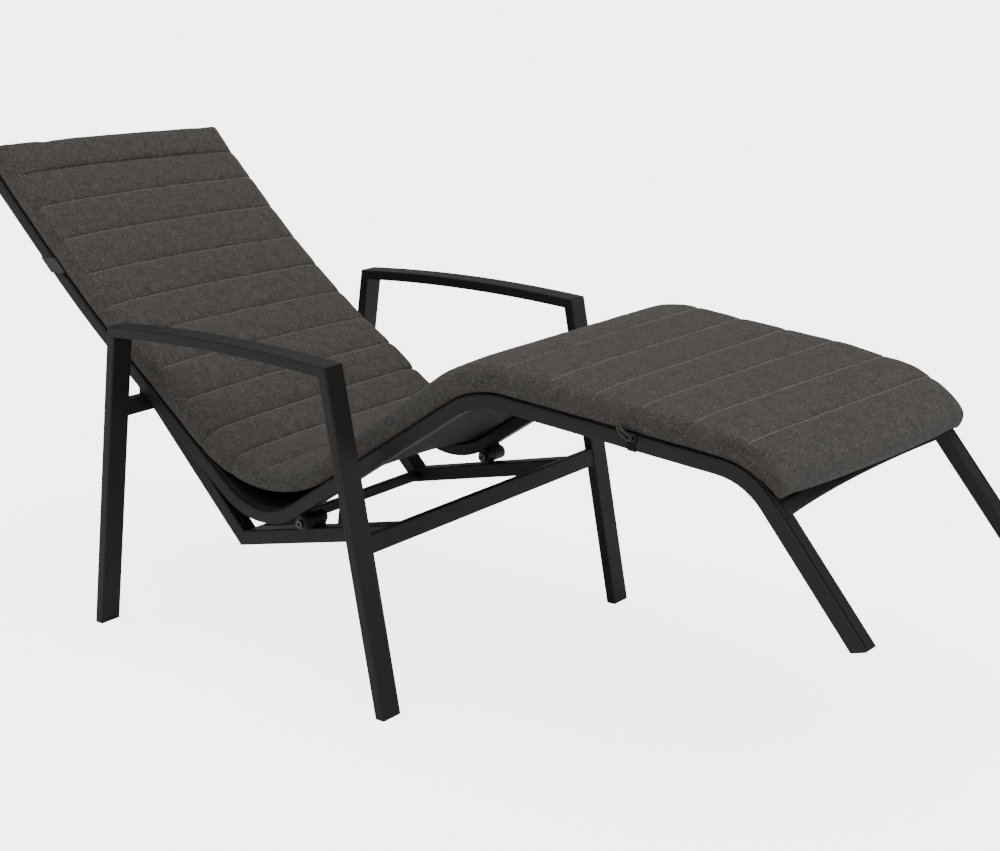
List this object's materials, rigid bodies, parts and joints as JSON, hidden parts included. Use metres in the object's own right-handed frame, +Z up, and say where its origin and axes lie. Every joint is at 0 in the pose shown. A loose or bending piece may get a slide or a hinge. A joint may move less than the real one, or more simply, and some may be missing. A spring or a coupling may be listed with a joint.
{
  "type": "sun lounger",
  "caption": "Tilting sun lounger: bent tubular frame with sling and quilted cushion, pivoting in a fixed armrest base.",
  "frame": {"origin": "on the floor, under the middle of the whole lounger's box in the reclined pose", "axes": "+X towards the foot end, +Y towards the left armrest (as a person lying in it would say), +Z up"},
  "size_m": [1.7496, 0.65, 0.8016],
  "materials": {
    "frame_paint": "matte",
    "black_plastic": "matte",
    "black_rubber": "matte",
    "bolt_steel": "satin",
    "bush_plastic": "satin",
    "sling_weave": "matte",
    "cord_plastic": "matte",
    "cushion_cloth": "matte",
    "strap_webbing": "matte"
  },
  "bodies": {
    "base": {"left_rear_leg": "frame_paint", "right_rear_leg": "frame_paint", "left_front_leg": "frame_paint", "right_front_leg": "frame_paint", "left_armrest": "frame_paint", "right_armrest": "frame_paint", "base_foot_caps": "black_plastic", "front_crossbar": "frame_paint", "rear_crossbar": "frame_paint", "bend_crossbar": "frame_paint", "left_diagonal_strut": "frame_paint", "right_diagonal_strut": "frame_paint", "left_lower_strut": "frame_paint", "right_lower_strut": "frame_paint", "strut_knuckles": "frame_paint", "back_stop_pads": "black_rubber", "pivot_bolts": "bolt_steel", "pivot_nuts": "bolt_steel"},
    "seat": {"left_rail": "frame_paint", "right_rail": "frame_paint", "rail_knuckles": "frame_paint", "pivot_bushes": "bush_plastic", "head_crossbar": "frame_paint", "back_crossbar": "frame_paint", "knee_crossbar": "frame_paint", "leg_rest_crossbar": "frame_paint", "head_end_caps": "black_plastic", "leg_rest_foot_caps": "black_plastic", "sling": "sling_weave", "sling_edge_cords": "cord_plastic", "cushion": "cushion_cloth", "head_strap": "strap_webbing", "leg_rest_strap": "strap_webbing"}
  },
  "joints": [
    {"name": "seat_tilt", "type": "hinge", "parent": "base", "child": "seat", "pos_m": [-0.12097, 0, 0.25342], "axis": [0, 1, 0], "range_deg": [0, 16.42]}
  ]
}
